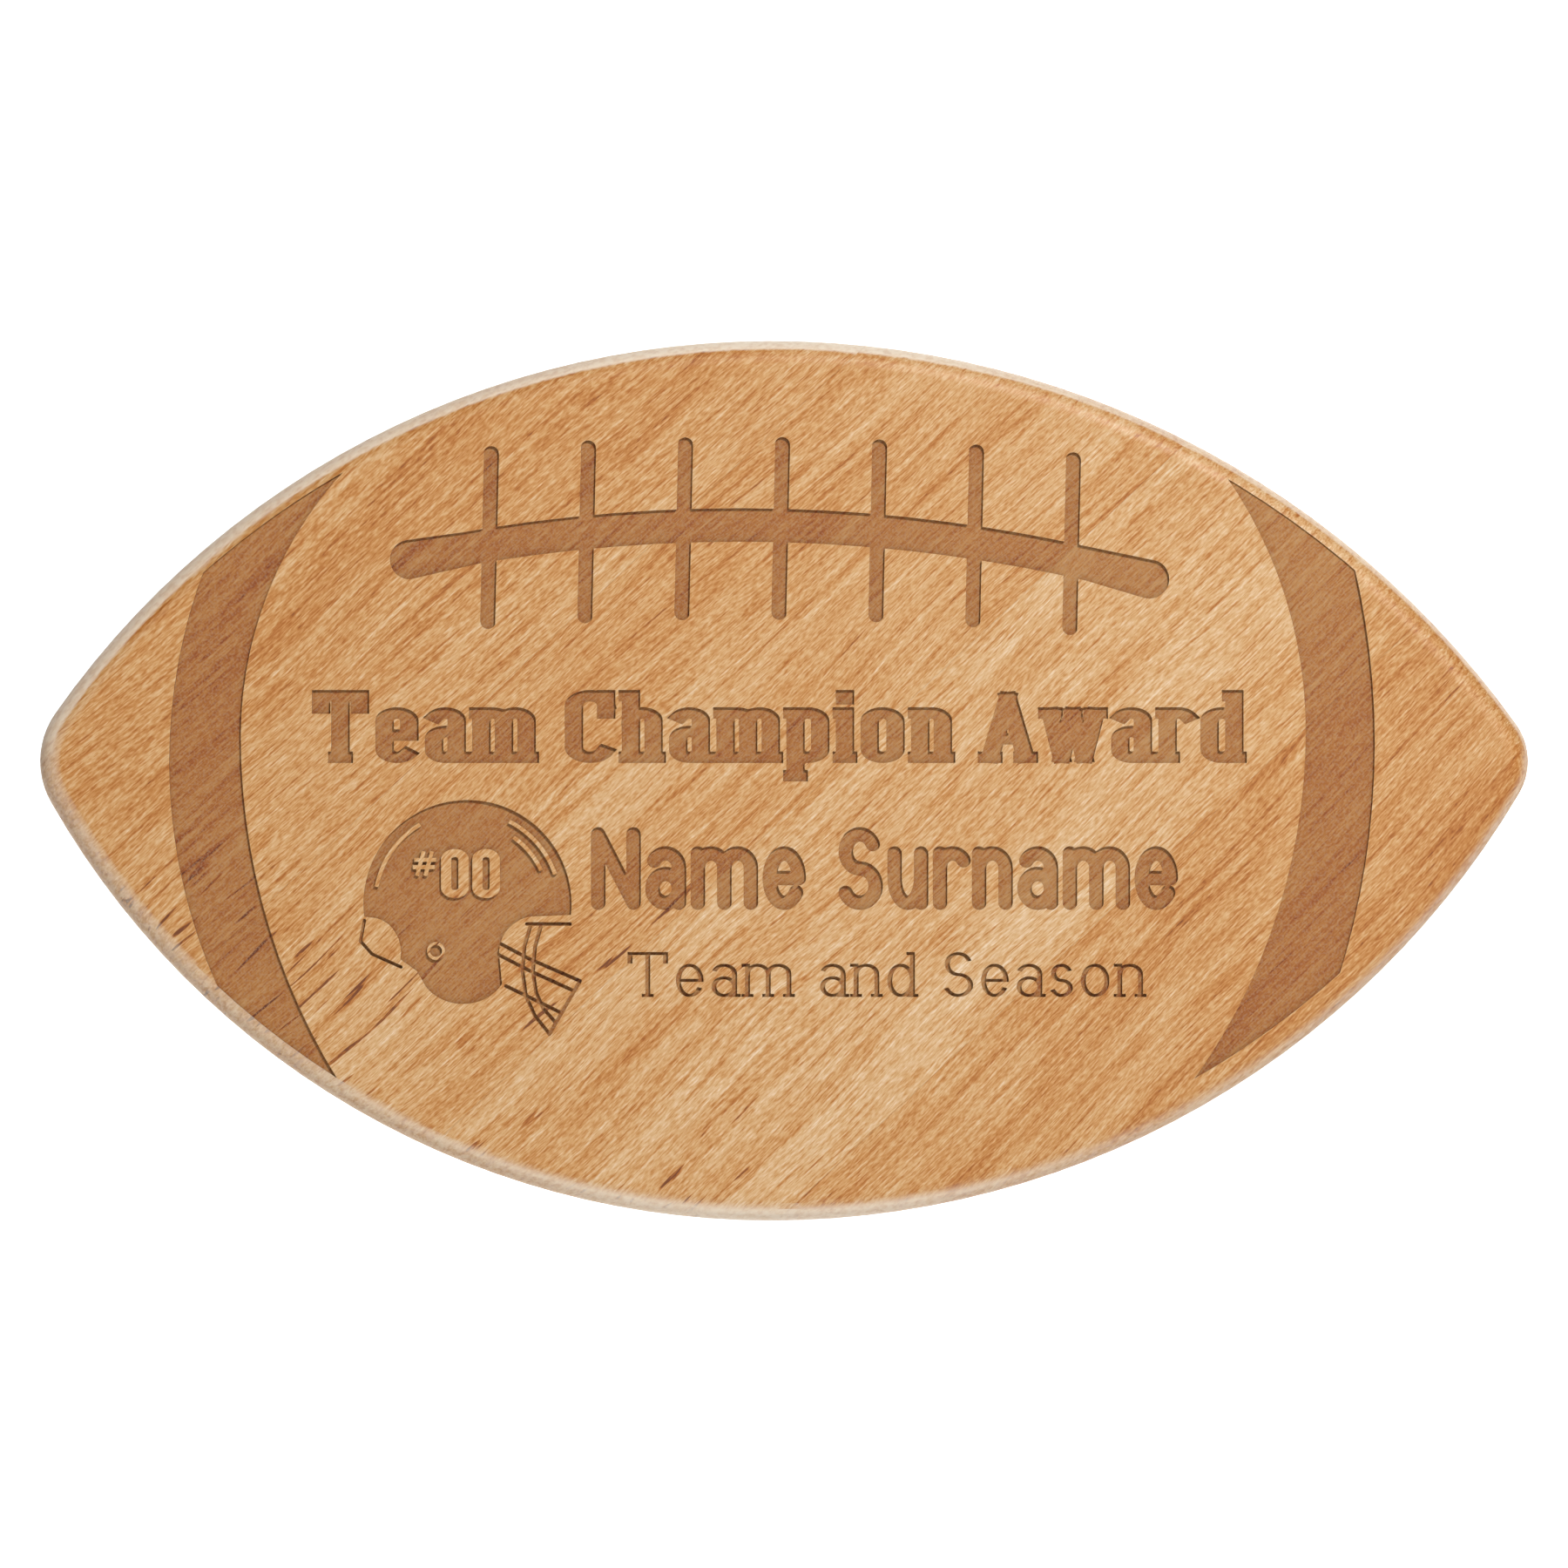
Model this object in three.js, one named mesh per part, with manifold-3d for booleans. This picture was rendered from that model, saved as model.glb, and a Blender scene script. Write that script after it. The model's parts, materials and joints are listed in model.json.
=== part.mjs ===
// A football-shaped award plaque of solid alder, hung on a wall by a keyhole plate let into its back.
//
// The board is edge-glued from four staves whose grain runs up to the right, cut to a football outline
// and rounded over on both faces. The laces and the two end stripes are engraved into its front.
// A steel keyhole plate sits in a mortise in the back with two countersunk screws, over a pocket for
// the wall screw's head, and four rubber bumpers stand the board off the wall.
//
// Lengths are in millimetres. The pieces are laid out in the face frame: x to the viewer's right,
// y up and z out of the wall towards the viewer, with z = 0 at the wall and y = 0 on the line through
// the two tips. The last lines stand the plaque up, with the place where it hangs at the origin.

import * as THREE from "three";
import { mergeVertices } from "three/addons/utils/BufferGeometryUtils.js";
import Module from "manifold-3d";

// Board
const BOARD_LENGTH = 298.5; // tip to tip
const CROWN_RISE = 84.3; // from the tip line up to the highest point
const BELLY_DROP = 92.2; // from the tip line down to the lowest point
const PEAK_X = -2.7; // the highest and lowest points lie a little left of the middle
const LEFT_TIP_RADIUS = 16.7;
const RIGHT_TIP_RADIUS = 12.8;
const BOARD_THICKNESS = 19;
const EDGE_RADIUS = 5; // round-over on the front and back edges
const EDGE_STEPS = 6;

// Staves, counted from the upper left across the grain
const GRAIN_ANGLE = THREE.MathUtils.degToRad(43); // above horizontal
const STAVE_WIDTH = 58; // of the two middle staves
const MIDDLE_JOINT = 8.3; // from the middle of the tip line to the middle joint, across the grain
const GLUE_LINE = 0.02;

// Engraving
const ENGRAVE_DEPTH = 0.8;
const LACES_X = -0.65;
const LACES_BELOW_CROWN = 37.2; // from the highest point down to the middle of the lace band
const BAND_HALF_SPAN = 74; // to the centre of each rounded end
const BAND_RADIUS = 317;
const BAND_WIDTH = 6.7;
const BAND_END_WIDTH = 7.9;
const BAND_FLARE_LENGTH = 14; // where the band widens to its end
const BAND_TILT = THREE.MathUtils.degToRad(-1.5);
const STITCH_COUNT = 7;
const STITCH_PITCH = 19.4;
const STITCH_LENGTH = 36.6;
const STITCH_WIDTH = 3.1;
const STITCH_ARC_RADIUS = 700; // the stitches' middles lie on a flatter arc than the band
const STITCH_BELOW_BAND = 0.6; // how far the middle stitch sits below the band's middle
const STITCH_ROW_TILT = THREE.MathUtils.degToRad(-0.6);
const STITCH_LEAN = THREE.MathUtils.degToRad(-1.1);

// End stripes. Each long edge is an upper and a lower arc that meet at a height. The margin is the wood
// left at the board's edge, less above and more below by the rise.
const LEFT_STRIPE = {
  side: -1,
  outerEdge: { fromTip: 26.3, height: -0.2, upperRadius: 109.4, lowerRadius: 109.4 },
  innerEdge: { fromTip: 40.6, height: 5, upperRadius: 78.4, lowerRadius: 131.5 },
  margin: 3.7,
  marginRise: 0,
};
const RIGHT_STRIPE = {
  side: 1,
  outerEdge: { fromTip: 31.1, height: 3.6, upperRadius: 155.6, lowerRadius: 155.6 },
  innerEdge: { fromTip: 44.9, height: 6, upperRadius: 89.6, lowerRadius: 119.9 },
  margin: 4.4,
  marginRise: 1.6,
};

// Keyhole plate, with heights from its own middle
const PLATE_LENGTH = 42;
const PLATE_WIDTH = 16;
const PLATE_THICKNESS = 1.6;
const PLATE_BELOW_CROWN = 46; // from the board's top edge down to the plate's middle
const PLATE_SUNK = 0.1; // how far the plate lies below the board's back
const KEYHOLE_ENTRY_RADIUS = 5;
const KEYHOLE_ENTRY_HEIGHT = -5;
const KEYHOLE_SLOT_WIDTH = 5;
const KEYHOLE_SLOT_TOP = 7; // centre of the slot's round end, where the wall screw sits
const HEAD_POCKET_DEPTH = 7; // behind the plate
const HEAD_POCKET_MARGIN = 0.4; // how much wider than the entry hole the pocket is, all round
const PLATE_GAP = 0.3; // between the plate and its mortise

// Plate screws
const SCREW_SPACING = 32;
const SCREW_RADIUS = 1.5;
const SCREW_CORE_RADIUS = 1.05;
const SCREW_LENGTH = 12; // from the head's face to the point
const SCREW_HEAD_RADIUS = 3;
const SCREW_THREADS = 8;
const SCREW_POINT = 2.2;
const SCREW_FACE_SUNK = 0.2; // how far the head's face lies below the plate's face
const SCREW_GAP = 0.3; // round the screw, in the plate and in the wood
const CROSS_RADIUS = 1.7; // driver recess
const CROSS_FLOOR_RADIUS = 0.5;
const CROSS_DEPTH = 1.5;
const CROSS_ARM_WIDTH = 0.8;

// Bumpers
const BUMPER_RADIUS = 5.5;
const BUMPER_HEIGHT = 2.2;
const BUMPER_FACE_RADIUS = 4.6;
const BUMPER_FROM_TIP = 58; // along the length
const BUMPER_UP = 26; // from the tip line
const BUMPER_DOWN = 34;
const BUMPER_GLUE = 0.05;

// Shared
const ARC_TOLERANCE = 0.03; // how far a facet may lie from its arc
const ROUND_SEGMENTS = 24;
const CUT_THROUGH = 1; // how far a cutting tool runs past the face that it enters
const CONE_TIP_RADIUS = 0.01; // a countersink's cone stops just short of a sharp point

const TOP = CROWN_RISE;
const BACK = BUMPER_HEIGHT + BUMPER_GLUE; // z of the board's back face
const FRONT = BACK + BOARD_THICKNESS;
const PLATE_Y = TOP - PLATE_BELOW_CROWN;
const HANG_Y = PLATE_Y + KEYHOLE_SLOT_TOP;

const wasm = await Module();
wasm.setup();

const FINISHES = {
  wood: [0xcd9a63, 0xd0a06c, 0xd3a776, 0xcc9b68].map((color) => matte(color, 0.55)),
  steel: new THREE.MeshStandardMaterial({ color: 0xb9bcc0, roughness: 0.35, metalness: 0.9 }),
  rubber: matte(0x2b2826, 0.75),
};

function matte(color, roughness) {
  return new THREE.MeshStandardMaterial({ color, roughness, metalness: 0 });
}

// ---- Solids and meshes ----

function solidOf(geometry) {
  const bare = geometry.clone();
  bare.deleteAttribute("normal");
  bare.deleteAttribute("uv");
  const merged = mergeVertices(bare, 1e-4);
  const triVerts = new Uint32Array(merged.index.array);
  const vertProperties = merged.attributes.position.array;
  return new wasm.Manifold(new wasm.Mesh({ numProp: 3, vertProperties, triVerts }));
}

function geometryOf(solid) {
  const { vertProperties, triVerts } = solid.getMesh();
  const geometry = new THREE.BufferGeometry();
  geometry.setAttribute("position", new THREE.BufferAttribute(vertProperties, 3));
  geometry.setIndex(new THREE.BufferAttribute(triVerts, 1));
  const faceted = geometry.toNonIndexed();
  faceted.computeVertexNormals();
  return faceted;
}

function namedMesh(name, geometry, material) {
  const mesh = new THREE.Mesh(geometry, material);
  mesh.name = name;
  return mesh;
}

// ---- Flat shapes, as lists of points, anticlockwise ----

// Points along an arc, without its last point, so that arcs join end to end.
function arc(x, y, radius, from, to, tolerance = ARC_TOLERANCE) {
  const step = 2 * Math.acos(1 - tolerance / radius);
  const count = Math.ceil(Math.abs(to - from) / step);
  return Array.from({ length: count }, (_, i) => {
    const angle = from + ((to - from) * i) / count;
    return new THREE.Vector2(x + radius * Math.cos(angle), y + radius * Math.sin(angle));
  });
}

// The straight-sided shape round two circles, such as a slot or a stitch.
function capsule(start, startRadius, end, endRadius) {
  const along = end.clone().sub(start);
  const heading = along.angle();
  const flare = Math.asin((startRadius - endRadius) / along.length());
  const quarter = Math.PI / 2;
  return [
    ...arc(end.x, end.y, endRadius, heading - quarter + flare, heading + quarter - flare),
    ...arc(start.x, start.y, startRadius, heading + quarter - flare, heading + 3 * quarter + flare),
  ];
}

// The arc that leaves the board's highest or lowest point level and runs smoothly into a tip's arc.
function flank(side, tipRadius, height) {
  const run = BOARD_LENGTH / 2 - tipRadius - side * PEAK_X;
  const radius = (run ** 2 + height ** 2 - tipRadius ** 2) / (2 * (height - tipRadius));
  return { radius, below: radius - height, tipAngle: Math.atan2(radius - height, run) };
}

// One quarter of the outline, from the tip round to the peak, turned to run anticlockwise.
function outlineQuarter(side, up, inset) {
  const tipRadius = side > 0 ? RIGHT_TIP_RADIUS : LEFT_TIP_RADIUS;
  const height = up > 0 ? CROWN_RISE : BELLY_DROP;
  const { radius, below, tipAngle } = flank(side, tipRadius, height);
  const tipX = BOARD_LENGTH / 2 - tipRadius;
  const points = [
    ...arc(tipX, 0, tipRadius - inset, 0, tipAngle),
    ...arc(side * PEAK_X, -below, radius - inset, tipAngle, Math.PI / 2),
    new THREE.Vector2(side * PEAK_X, height - inset),
  ].map((point) => new THREE.Vector2(side * point.x, up * point.y));
  return side === up ? points : points.reverse();
}

// The football outline, or one the same distance inside it all round.
function footballOutline(inset = 0) {
  return [
    [1, 1],
    [-1, 1],
    [-1, -1],
    [1, -1],
  ].flatMap(([side, up]) => outlineQuarter(side, up, inset).slice(0, -1));
}

// A flat shape given thickness, from one z to another.
function prism(points, fromZ, toZ) {
  const geometry = new THREE.ExtrudeGeometry(new THREE.Shape(points), {
    depth: toZ - fromZ,
    bevelEnabled: false,
  });
  return solidOf(geometry.translate(0, 0, fromZ));
}

// A round tool along z, from one z and radius to another.
function roundTool(x, y, fromZ, fromRadius, toZ, toRadius) {
  const geometry = new THREE.CylinderGeometry(toRadius, fromRadius, toZ - fromZ, ROUND_SEGMENTS);
  geometry.rotateX(Math.PI / 2);
  return solidOf(geometry.translate(x, y, (fromZ + toZ) / 2));
}

function joined(solids) {
  return solids.reduce((whole, solid) => whole.add(solid));
}

// ---- Engraving, cut into the front ----

function engravingTool(points) {
  return prism(points, FRONT - ENGRAVE_DEPTH, FRONT + CUT_THROUGH);
}

// The lace band: a long shallow arc about the origin that widens to a round end on each side.
function laceBand() {
  const half = Math.asin(BAND_HALF_SPAN / BAND_RADIUS);
  const up = Math.PI / 2 + BAND_TILT;
  const centre = new THREE.Vector2(0, -BAND_RADIUS).rotateAround(new THREE.Vector2(), BAND_TILT);
  const halfWidth = BAND_WIDTH / 2;
  const onBand = (angle) =>
    new THREE.Vector2(BAND_RADIUS, 0).rotateAround(new THREE.Vector2(), up - angle).add(centre);
  const band = [
    ...arc(centre.x, centre.y, BAND_RADIUS - halfWidth, up + half, up - half),
    ...arc(centre.x, centre.y, BAND_RADIUS + halfWidth, up - half, up + half),
  ];
  const flareStart = half - BAND_FLARE_LENGTH / BAND_RADIUS;
  const ends = [-1, 1].map((side) =>
    engravingTool(
      capsule(onBand(side * flareStart), halfWidth, onBand(side * half), BAND_END_WIDTH / 2),
    ),
  );
  return joined([engravingTool(band), ...ends]);
}

function stitch(index) {
  const x = (index - (STITCH_COUNT - 1) / 2) * STITCH_PITCH;
  const sag = STITCH_ARC_RADIUS - Math.sqrt(STITCH_ARC_RADIUS ** 2 - x ** 2);
  const middle = new THREE.Vector2(x, -sag).rotateAround(new THREE.Vector2(), STITCH_ROW_TILT);
  middle.y -= STITCH_BELOW_BAND;
  const reach = new THREE.Vector2(0, STITCH_LENGTH / 2 - STITCH_WIDTH / 2);
  reach.rotateAround(new THREE.Vector2(), STITCH_LEAN);
  const [top, bottom] = [middle.clone().add(reach), middle.clone().sub(reach)];
  return engravingTool(capsule(bottom, STITCH_WIDTH / 2, top, STITCH_WIDTH / 2));
}

function laces() {
  const stitches = Array.from({ length: STITCH_COUNT }, (_, index) => stitch(index));
  return joined([laceBand(), ...stitches]).translate([LACES_X, TOP - LACES_BELOW_CROWN, 0]);
}

// What one long edge of a stripe encloses. The edge bulges towards the board's tip.
function insideEdge(side, { fromTip, height, upperRadius, lowerRadius }) {
  const edgeX = BOARD_LENGTH / 2 - fromTip;
  const lower = arc(edgeX - lowerRadius, height, lowerRadius, -Math.PI / 2, 0);
  const upper = arc(edgeX - upperRadius, height, upperRadius, 0, Math.PI / 2);
  return engravingTool([...lower, ...upper].map(({ x, y }) => new THREE.Vector2(side * x, y)));
}

// An end stripe lies between its two long edges and stops short of the board's edge.
function endStripe({ side, outerEdge, innerEdge, margin, marginRise }) {
  const crescent = insideEdge(side, outerEdge).subtract(insideEdge(side, innerEdge));
  const boardEnd = new THREE.BoxGeometry(BOARD_LENGTH / 2, BOARD_LENGTH, BOARD_LENGTH);
  boardEnd.translate((side * BOARD_LENGTH) / 2, 0, 0);
  const border = engravingTool(footballOutline(margin)).translate([0, marginRise, 0]);
  return crescent.intersect(solidOf(boardEnd)).intersect(border);
}

// ---- Cuts in the back for the hanger ----

function plateShape(margin = 0) {
  const radius = PLATE_WIDTH / 2 + margin;
  const reach = PLATE_LENGTH / 2 - PLATE_WIDTH / 2;
  return capsule(new THREE.Vector2(0, -reach), radius, new THREE.Vector2(0, reach), radius);
}

function slotShape(radius, height) {
  return capsule(
    new THREE.Vector2(0, KEYHOLE_ENTRY_HEIGHT),
    radius,
    new THREE.Vector2(0, height),
    radius,
  );
}

function screwHeights() {
  return { lower: -SCREW_SPACING / 2, upper: SCREW_SPACING / 2 };
}

// The mortise that the plate lies in, the pocket behind it for the wall screw's head, and the pilot holes.
function hangerCuts() {
  const plateFace = BACK + PLATE_SUNK;
  const mortiseFloor = plateFace + PLATE_THICKNESS + PLATE_SUNK;
  const mortise = prism(plateShape(PLATE_GAP), BACK - CUT_THROUGH, mortiseFloor);
  const pocket = prism(
    slotShape(KEYHOLE_ENTRY_RADIUS + HEAD_POCKET_MARGIN, KEYHOLE_SLOT_TOP),
    BACK,
    mortiseFloor + HEAD_POCKET_DEPTH,
  );
  const pilotEnd = plateFace + SCREW_FACE_SUNK + SCREW_LENGTH + SCREW_GAP;
  const pilotRadius = SCREW_RADIUS + SCREW_GAP;
  const pilots = Object.values(screwHeights()).map((y) =>
    roundTool(0, y, BACK, pilotRadius, pilotEnd, pilotRadius),
  );
  return joined([mortise, pocket, ...pilots]).translate([0, PLATE_Y, 0]);
}

// ---- Board ----

function boardBlank() {
  const geometry = new THREE.ExtrudeGeometry(new THREE.Shape(footballOutline()), {
    depth: BOARD_THICKNESS - 2 * EDGE_RADIUS,
    bevelThickness: EDGE_RADIUS,
    bevelSize: EDGE_RADIUS,
    bevelOffset: -EDGE_RADIUS,
    bevelSegments: EDGE_STEPS,
  });
  return solidOf(geometry.translate(0, 0, BACK + EDGE_RADIUS));
}

// The part of the board between two lines along the grain, at these distances across it.
function acrossGrain(solid, from, to) {
  const reach = 2 * BOARD_LENGTH;
  const slab = new THREE.BoxGeometry(reach, to - from, reach);
  slab.translate(0, -(from + to) / 2, 0);
  slab.rotateZ(GRAIN_ANGLE);
  return solid.intersect(solidOf(slab));
}

function staves() {
  const cuts = joined([laces(), endStripe(LEFT_STRIPE), endStripe(RIGHT_STRIPE), hangerCuts()]);
  const board = boardBlank().subtract(cuts);
  const joints = [-1, 0, 1].map((i) => MIDDLE_JOINT + i * STAVE_WIDTH);
  const edges = [-BOARD_LENGTH, ...joints, BOARD_LENGTH];
  return ["upper_left", "upper_middle", "lower_middle", "lower_right"].map((place, i) => {
    const stave = acrossGrain(board, edges[i] + GLUE_LINE / 2, edges[i + 1] - GLUE_LINE / 2);
    return namedMesh(`stave_${place}`, geometryOf(stave), FINISHES.wood[i]);
  });
}

// ---- Keyhole plate, with its wall-side face at z = 0 ----

function keyholePlate() {
  const blank = prism(plateShape(), 0, PLATE_THICKNESS);
  const entry = roundTool(
    0,
    KEYHOLE_ENTRY_HEIGHT,
    -CUT_THROUGH,
    KEYHOLE_ENTRY_RADIUS,
    PLATE_THICKNESS + CUT_THROUGH,
    KEYHOLE_ENTRY_RADIUS,
  );
  const slot = prism(
    slotShape(KEYHOLE_SLOT_WIDTH / 2, KEYHOLE_SLOT_TOP),
    -CUT_THROUGH,
    PLATE_THICKNESS + CUT_THROUGH,
  );
  const sinkRadius = SCREW_HEAD_RADIUS + SCREW_FACE_SUNK + SCREW_GAP;
  const holeRadius = SCREW_RADIUS + SCREW_GAP;
  const screwHoles = Object.values(screwHeights()).flatMap((y) => [
    roundTool(0, y, -CUT_THROUGH, holeRadius, PLATE_THICKNESS + CUT_THROUGH, holeRadius),
    roundTool(0, y, -CUT_THROUGH, sinkRadius + CUT_THROUGH, sinkRadius, CONE_TIP_RADIUS),
  ]);
  const plate = blank.subtract(joined([entry, slot, ...screwHoles]));
  const mesh = namedMesh("keyhole_plate", geometryOf(plate), FINISHES.steel);
  mesh.position.set(0, PLATE_Y, BACK + PLATE_SUNK);
  return mesh;
}

// ---- Countersunk screw, turned about its axis, with its head's face at y = 0 ----

function screwProfile() {
  const headDepth = SCREW_HEAD_RADIUS - SCREW_CORE_RADIUS;
  const threadStart = headDepth + SCREW_RADIUS;
  const pitch = (SCREW_LENGTH - SCREW_POINT - threadStart) / SCREW_THREADS;
  const profile = [
    [0, 0],
    [SCREW_HEAD_RADIUS, 0],
    [SCREW_CORE_RADIUS, headDepth],
  ];
  for (let i = 0; i < SCREW_THREADS; i += 1) {
    const y = threadStart + i * pitch;
    profile.push([SCREW_CORE_RADIUS, y], [SCREW_RADIUS, y + pitch / 2]);
  }
  profile.push([SCREW_CORE_RADIUS, SCREW_LENGTH - SCREW_POINT], [0, SCREW_LENGTH]);
  return profile.map(([x, y]) => new THREE.Vector2(x, y));
}

function crossRecess() {
  const arms = [0, Math.PI / 2].map((turn) => {
    const arm = new THREE.BoxGeometry(2 * CROSS_RADIUS, 2 * CROSS_DEPTH, CROSS_ARM_WIDTH);
    return solidOf(arm.rotateY(turn));
  });
  const slope = (CROSS_RADIUS - CROSS_FLOOR_RADIUS) / CROSS_DEPTH;
  const cone = new THREE.CylinderGeometry(
    CROSS_FLOOR_RADIUS,
    CROSS_RADIUS + slope * CROSS_DEPTH,
    2 * CROSS_DEPTH,
    ROUND_SEGMENTS,
  );
  return joined(arms).intersect(solidOf(cone));
}

function plateScrew(place, height) {
  const turned = new THREE.LatheGeometry(screwProfile(), ROUND_SEGMENTS);
  const screw = solidOf(turned).subtract(crossRecess());
  const mesh = namedMesh(`plate_screw_${place}`, geometryOf(screw), FINISHES.steel);
  mesh.rotation.x = Math.PI / 2;
  mesh.position.set(0, PLATE_Y + height, BACK + PLATE_SUNK + SCREW_FACE_SUNK);
  return mesh;
}

// ---- Rubber bumper, with the face that meets the wall at y = 0 ----

function bumper(name, x, y) {
  const round = BUMPER_RADIUS - BUMPER_FACE_RADIUS;
  const edge = arc(BUMPER_FACE_RADIUS, round, round, -Math.PI / 2, 0);
  const profile = [
    new THREE.Vector2(0, 0),
    ...edge,
    new THREE.Vector2(BUMPER_RADIUS, round),
    new THREE.Vector2(BUMPER_RADIUS, BUMPER_HEIGHT),
    new THREE.Vector2(0, BUMPER_HEIGHT),
  ];
  const mesh = namedMesh(name, new THREE.LatheGeometry(profile, ROUND_SEGMENTS), FINISHES.rubber);
  mesh.rotation.x = Math.PI / 2;
  mesh.position.set(x, y, 0);
  return mesh;
}

function bumpers() {
  const x = BOARD_LENGTH / 2 - BUMPER_FROM_TIP;
  return [
    bumper("bumper_upper_left", -x, BUMPER_UP),
    bumper("bumper_upper_right", x, BUMPER_UP),
    bumper("bumper_lower_left", -x, -BUMPER_DOWN),
    bumper("bumper_lower_right", x, -BUMPER_DOWN),
  ];
}

// ---- The plaque, stood up with its face towards -Y and its hanging point at the origin ----

const plaque = new THREE.Group();
plaque.add(...staves(), keyholePlate(), ...bumpers());
for (const [place, height] of Object.entries(screwHeights())) {
  plaque.add(plateScrew(place, height));
}
plaque.rotation.x = Math.PI / 2;
plaque.position.z = -HANG_Y;

const part = new THREE.Group();
part.add(plaque);

export default part;
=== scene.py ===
# %% [markdown]
# # A football-shaped award plaque
#
# The plaque is a board of alder, glued up from four staves whose grain runs up to the right. It is cut to
# a football outline, rounded over, and engraved with laces, two stripes, a helmet and three lines of
# words. A steel keyhole plate and four rubber bumpers are on its back.
#
# The CAD model already holds every solid piece at its real size. This lesson keeps those shapes, cuts the
# finer engraving into copies of the staves, softens the metal and rubber, and makes the materials.

# %% Load the frame
import contextlib
import json
import math

import bpy
from mathutils import Matrix, Vector

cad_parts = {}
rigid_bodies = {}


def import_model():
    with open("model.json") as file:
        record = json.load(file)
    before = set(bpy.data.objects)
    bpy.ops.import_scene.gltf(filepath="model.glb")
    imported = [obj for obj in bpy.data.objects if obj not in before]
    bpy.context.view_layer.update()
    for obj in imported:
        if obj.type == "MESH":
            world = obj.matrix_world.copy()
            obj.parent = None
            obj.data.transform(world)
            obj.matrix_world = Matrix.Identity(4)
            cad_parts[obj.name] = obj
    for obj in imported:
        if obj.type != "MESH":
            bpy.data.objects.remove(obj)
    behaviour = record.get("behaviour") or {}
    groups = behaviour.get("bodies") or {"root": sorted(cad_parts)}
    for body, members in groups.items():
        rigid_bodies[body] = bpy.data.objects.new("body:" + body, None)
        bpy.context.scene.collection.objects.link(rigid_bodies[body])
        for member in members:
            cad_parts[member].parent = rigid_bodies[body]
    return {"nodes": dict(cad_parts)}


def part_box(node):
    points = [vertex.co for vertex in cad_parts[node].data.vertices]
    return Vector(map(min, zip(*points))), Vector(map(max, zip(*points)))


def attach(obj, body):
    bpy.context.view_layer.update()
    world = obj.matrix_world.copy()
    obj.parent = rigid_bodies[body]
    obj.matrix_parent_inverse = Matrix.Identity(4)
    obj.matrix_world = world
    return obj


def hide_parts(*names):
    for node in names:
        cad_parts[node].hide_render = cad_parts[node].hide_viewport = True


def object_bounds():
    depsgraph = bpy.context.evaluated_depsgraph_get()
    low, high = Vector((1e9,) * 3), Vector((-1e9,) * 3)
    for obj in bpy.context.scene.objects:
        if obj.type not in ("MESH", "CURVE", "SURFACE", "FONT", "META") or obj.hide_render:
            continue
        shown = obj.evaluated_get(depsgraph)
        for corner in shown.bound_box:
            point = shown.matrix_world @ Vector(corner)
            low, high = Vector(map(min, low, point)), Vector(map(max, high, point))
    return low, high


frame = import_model()
cad_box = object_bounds()
MM = 0.001
STAVES = ["stave_upper_left", "stave_upper_middle", "stave_lower_middle", "stave_lower_right"]
print("nodes:", ", ".join(sorted(frame["nodes"])))

# %% [markdown]
# ## Where the face is
#
# Every engraving is measured on the face: x to the right from the middle of the length, and z upwards
# from the line through the two tips. The CAD frame has its origin at the hanger instead, so one small
# function turns a place on the face into a place in the model. The tip line lies a known distance below
# the board's highest point.

# %% The face's own coordinates
CROWN_RISE = 84.3 * MM
ENGRAVE_DEPTH = 0.8 * MM

stave_boxes = [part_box(name) for name in STAVES]
FACE_Y = min(low[1] for low, high in stave_boxes)
BACK_Y = max(high[1] for low, high in stave_boxes)
TIP_LINE_Z = max(high[2] for low, high in stave_boxes) - CROWN_RISE
print(f"face at y = {FACE_Y / MM:.2f} mm, tip line at z = {TIP_LINE_Z / MM:.2f} mm")


def on_face(x, z, y=FACE_Y):
    return Vector((x, y, TIP_LINE_Z + z))


# %% [markdown]
# ## A small language for shader maths
#
# A node tree is a drawing of a formula. The class below wraps a socket so that the formula can be written
# as one: `1 - mask * 0.5` adds its Math nodes by itself. Every kind of node comes from the one method
# `node`, which takes the node's type, its settings, and the values or links of its sockets.


# %% Sockets as values
class Value:
    def __init__(self, tree, socket):
        self.tree = tree
        self.socket = socket

    def math(self, operation, *others):
        return Shader(self.tree).node("ShaderNodeMath", {"operation": operation}, self, *others)

    def __add__(self, other):
        return self.math("ADD", other)

    def __sub__(self, other):
        return self.math("SUBTRACT", other)

    def __mul__(self, other):
        return self.math("MULTIPLY", other)

    def __rsub__(self, other):
        return Shader(self.tree).node("ShaderNodeMath", {"operation": "SUBTRACT"}, other, self)

    __radd__ = __add__
    __rmul__ = __mul__

    def step(self, start, end):
        """0 below start, 1 above end, smooth between; it falls instead if start is above end."""
        settings = {"interpolation_type": "SMOOTHSTEP"}
        inputs = {"From Min": start, "From Max": end}
        return Shader(self.tree).node("ShaderNodeMapRange", settings, self, **inputs)


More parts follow.
